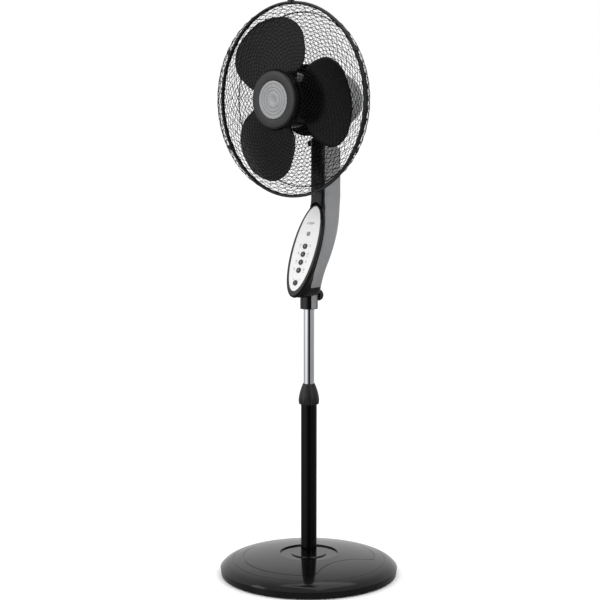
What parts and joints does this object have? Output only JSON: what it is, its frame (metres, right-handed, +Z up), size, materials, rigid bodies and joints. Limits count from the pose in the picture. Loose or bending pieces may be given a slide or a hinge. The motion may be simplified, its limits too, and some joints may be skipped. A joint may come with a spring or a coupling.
{
  "type": "pedestal fan",
  "caption": "Pedestal fan: domed round foot, two-stage pole, leaning oval control panel, tilting and swinging head with a three-paddle blade in a crossed-wire guard.",
  "frame": {"origin": "on the floor under the centre of the round foot and the pole", "axes": "+Z up; the air blows towards -Y, so the fan's front faces -Y; +X is to the right of someone facing the front"},
  "size_m": [0.4211, 0.4, 1.278],
  "materials": {
    "black_gloss": "gloss black moulded plastic",
    "black_satin": "satin black moulded plastic",
    "pole_black": "gloss black powder coat",
    "chrome": "polished chrome plate",
    "silver_plastic": "silver-grey satin plastic",
    "panel_white": "white gloss plastic",
    "button_dark": "dark grey rubbery plastic",
    "window_grey": "smoked window",
    "lamp_lens": "translucent lamp lens",
    "wire_black": "black coated steel wire",
    "blade_black": "dark gloss plastic blade",
    "badge_grey": "dark grey satin plastic",
    "badge_silver": "silver disc",
    "steel": "zinc-plated steel",
    "ballast": "ballast plate",
    "rubber": "rubber",
    "board_green": "circuit board",
    "copper": "varnished copper windings",
    "nylon": "natural nylon",
    "aluminium": "cast aluminium"
  },
  "bodies": {
    "stand": {"base_cover": "black_gloss", "base_weight": "ballast", "base_plate": "black_satin", "base_screws": "steel", "rubber_feet": "rubber", "pole_foot": "black_gloss", "base_washer": "steel", "base_bolt": "steel", "lower_pole": "pole_black", "pole_collet": "nylon"},
    "collar": {"height_collar": "black_satin"},
    "mast": {"slide_tube": "chrome", "tube_guide": "nylon", "front_housing": "black_gloss", "rear_housing": "silver_plastic", "housing_screws": "steel", "panel_bezel": "black_gloss", "control_panel": "panel_white", "ir_window": "window_grey", "control_board": "board_green", "tact_switches": "black_satin", "power_switch": "black_satin", "indicator_lamps": "lamp_lens", "socket_sleeve": "black_gloss", "sleeve_trims": "silver_plastic", "neck_fork": "black_satin"},
    "clamp": {"clamp_knob": "black_satin"},
    "speed_key": {"speed_button": "button_dark"},
    "mode_key": {"mode_button": "button_dark"},
    "timer_key": {"timer_button": "button_dark"},
    "swing_key": {"swing_button": "button_dark"},
    "power_key": {"power_button": "button_dark"},
    "tilt_bolt": {"tilt_screw": "black_satin"},
    "tilt": {"tilt_yoke": "black_satin", "swing_post": "steel"},
    "link": {"crank_link": "steel"},
    "head": {"swing_housing": "black_satin", "swing_motor": "steel", "motor_front_cover": "black_satin", "motor_rear_cover": "silver_plastic", "motor_frame": "aluminium", "motor_stator": "steel", "motor_windings": "copper", "front_bearing": "steel", "rear_bearing": "steel", "rear_grille": "wire_black", "front_grille": "wire_black", "grille_band": "black_gloss", "grille_clips": "black_satin", "grille_nut": "black_satin", "front_badge": "badge_grey", "badge_inset": "badge_silver"},
    "crank": {"crank_disc": "nylon"},
    "rotor": {"rotor_core": "steel", "motor_shaft": "steel", "fan_blade": "blade_black", "blade_nut": "black_satin"}
  },
  "joints": [
    {"name": "height_slide", "type": "slide", "parent": "stand", "child": "mast", "axis": [0, 0, 1], "range_m": [-0.16, 0.06]},
    {"name": "collar_turn", "type": "hinge", "parent": "stand", "child": "collar", "pos_m": [0, 0, 0.41], "axis": [0, 0, 1], "range_deg": [0, 180]},
    {"name": "clamp_turn", "type": "hinge", "parent": "mast", "child": "clamp", "pos_m": [0, 0.03, 0.6335], "axis": [0, 1, 0], "range_deg": [0, 360]},
    {"name": "speed_press", "type": "slide", "parent": "mast", "child": "speed_key", "axis": [0, 0.9245, -0.3811], "range_m": [0, 0.0008], "stiffness_N_per_m": 1200, "springref_m": -0.0006},
    {"name": "mode_press", "type": "slide", "parent": "mast", "child": "mode_key", "axis": [0, 0.9245, -0.3811], "range_m": [0, 0.0008], "stiffness_N_per_m": 1200, "springref_m": -0.0006},
    {"name": "timer_press", "type": "slide", "parent": "mast", "child": "timer_key", "axis": [0, 0.9245, -0.3811], "range_m": [0, 0.0008], "stiffness_N_per_m": 1200, "springref_m": -0.0006},
    {"name": "swing_press", "type": "slide", "parent": "mast", "child": "swing_key", "axis": [0, 0.9245, -0.3811], "range_m": [0, 0.0008], "stiffness_N_per_m": 1200, "springref_m": -0.0006},
    {"name": "power_press", "type": "slide", "parent": "mast", "child": "power_key", "axis": [0, 0.9245, -0.3811], "range_m": [0, 0.0008], "stiffness_N_per_m": 1200, "springref_m": -0.0006},
    {"name": "tilt_bolt_turn", "type": "hinge", "parent": "mast", "child": "tilt_bolt", "pos_m": [0, 0.038, 0.9695], "axis": [1, 0, 0], "range_deg": [0, 180]},
    {"name": "head_tilt", "type": "hinge", "parent": "mast", "child": "tilt", "pos_m": [0, 0.038, 0.9695], "axis": [-1, 0, 0], "range_deg": [-10, 20]},
    {"name": "head_swing", "type": "hinge", "parent": "tilt", "child": "head", "pos_m": [0, 0.044, 1], "axis": [0, 0, 1], "range_deg": [-40, 40]},
    {"name": "link_turn", "type": "hinge", "parent": "tilt", "child": "link", "pos_m": [0.018, 0.044, 0.989], "axis": [0, 0, 1], "range_deg": [-38, 38]},
    {"name": "crank_turn", "type": "hinge", "parent": "head", "child": "crank", "pos_m": [0, 0.1, 0.994], "axis": [0, 0, 1], "continuous": true},
    {"name": "fan_spin", "type": "hinge", "parent": "head", "child": "rotor", "pos_m": [0, 0, 1.065], "axis": [0, -1, 0], "continuous": true}
  ],
  "couplings": [
    {"joint": "link_turn", "follows": "head_swing", "ratio": 0.93}
  ]
}
